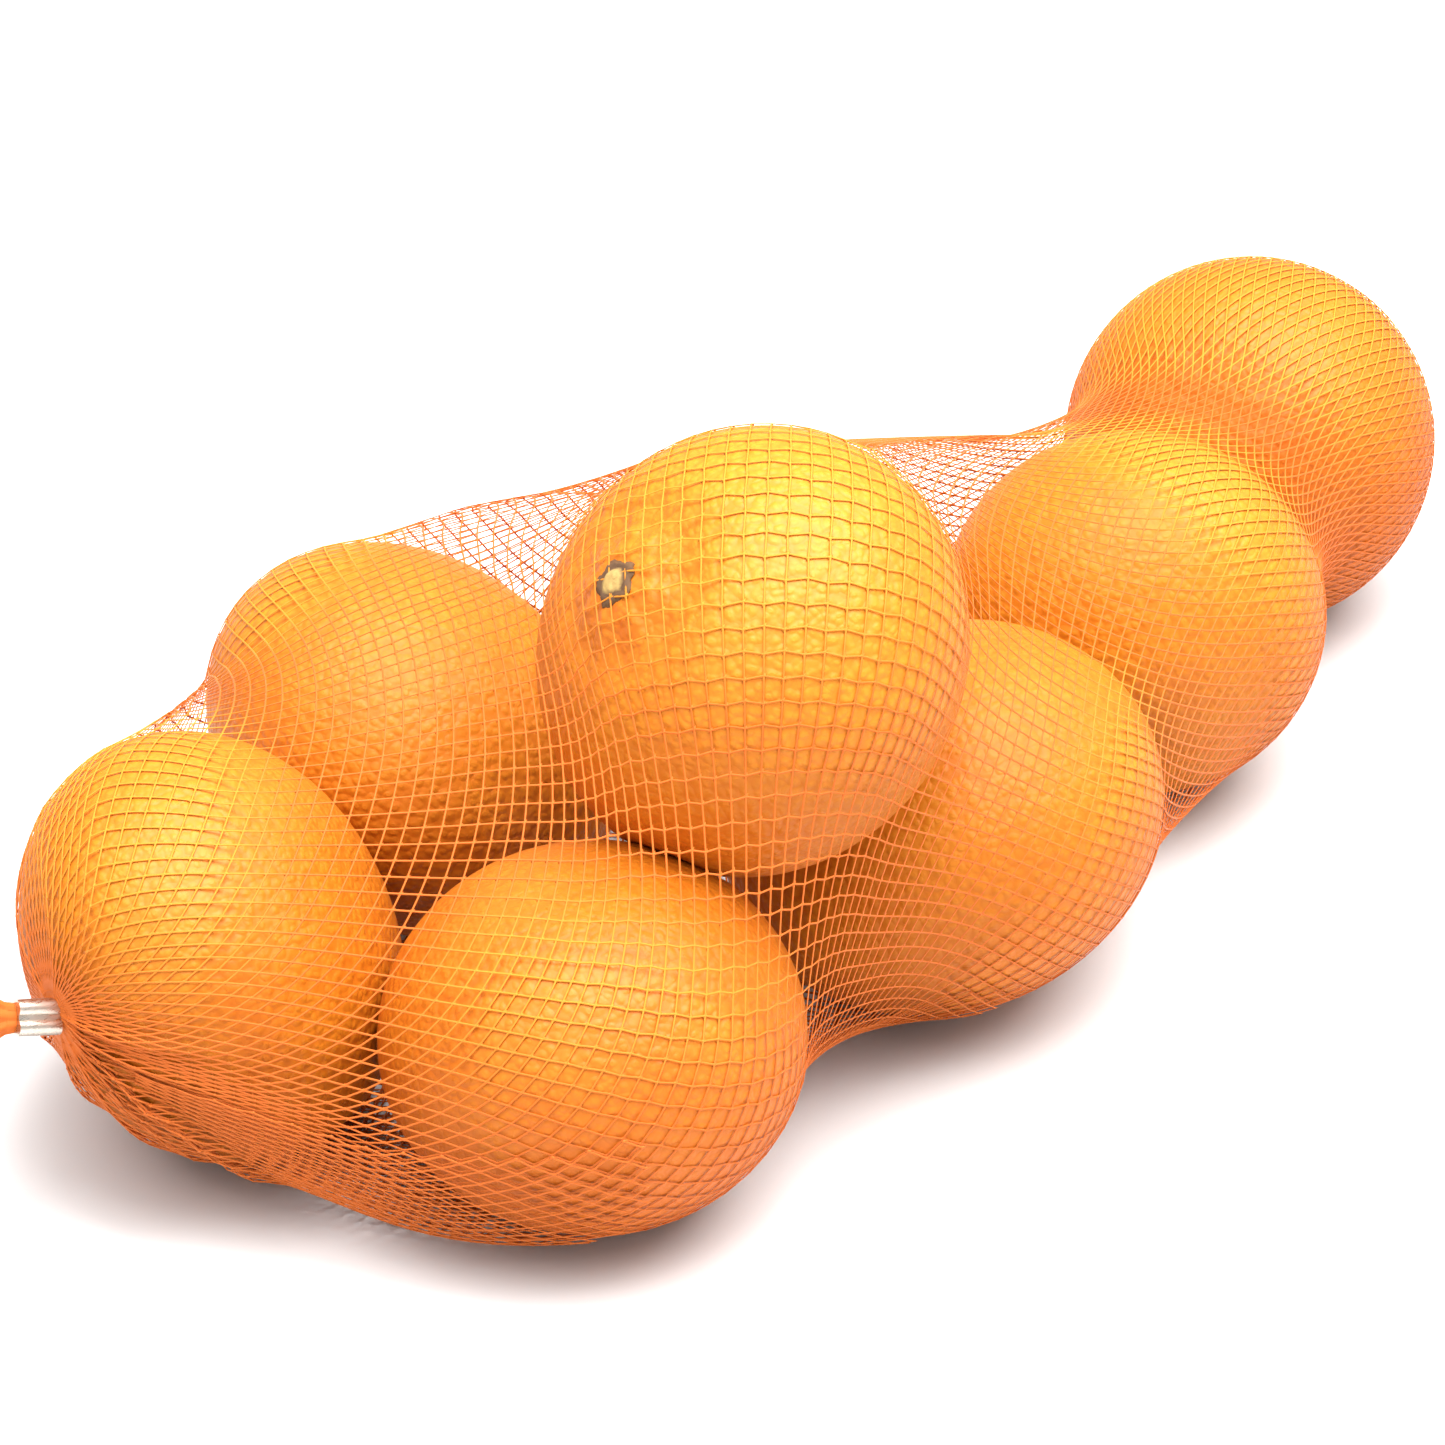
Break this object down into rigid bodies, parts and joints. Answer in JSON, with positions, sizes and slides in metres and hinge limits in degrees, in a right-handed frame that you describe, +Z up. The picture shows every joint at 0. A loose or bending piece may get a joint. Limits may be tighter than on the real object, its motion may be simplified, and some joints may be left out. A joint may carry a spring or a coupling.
{
  "type": "net of mandarins",
  "caption": "Tube of orange netting pulled tight over mandarins, lying on its side, gathered into a crimped metal clip at each end with the cut net fanning out.",
  "frame": {"origin": "on the floor under the middle of the bag's box", "axes": "+X along the bag from the near clip to the far clip, +Y to the back of the bag, +Z up"},
  "size_m": [0.3975, 0.1688, 0.1244],
  "materials": {
    "net": "satin",
    "peel": "satin",
    "stem": "matte",
    "clip_metal": "satin"
  },
  "bodies": {
    "root": {"filled_net": "net", "clip_near": "clip_metal", "clip_far": "clip_metal"}
  },
  "joints": []
}
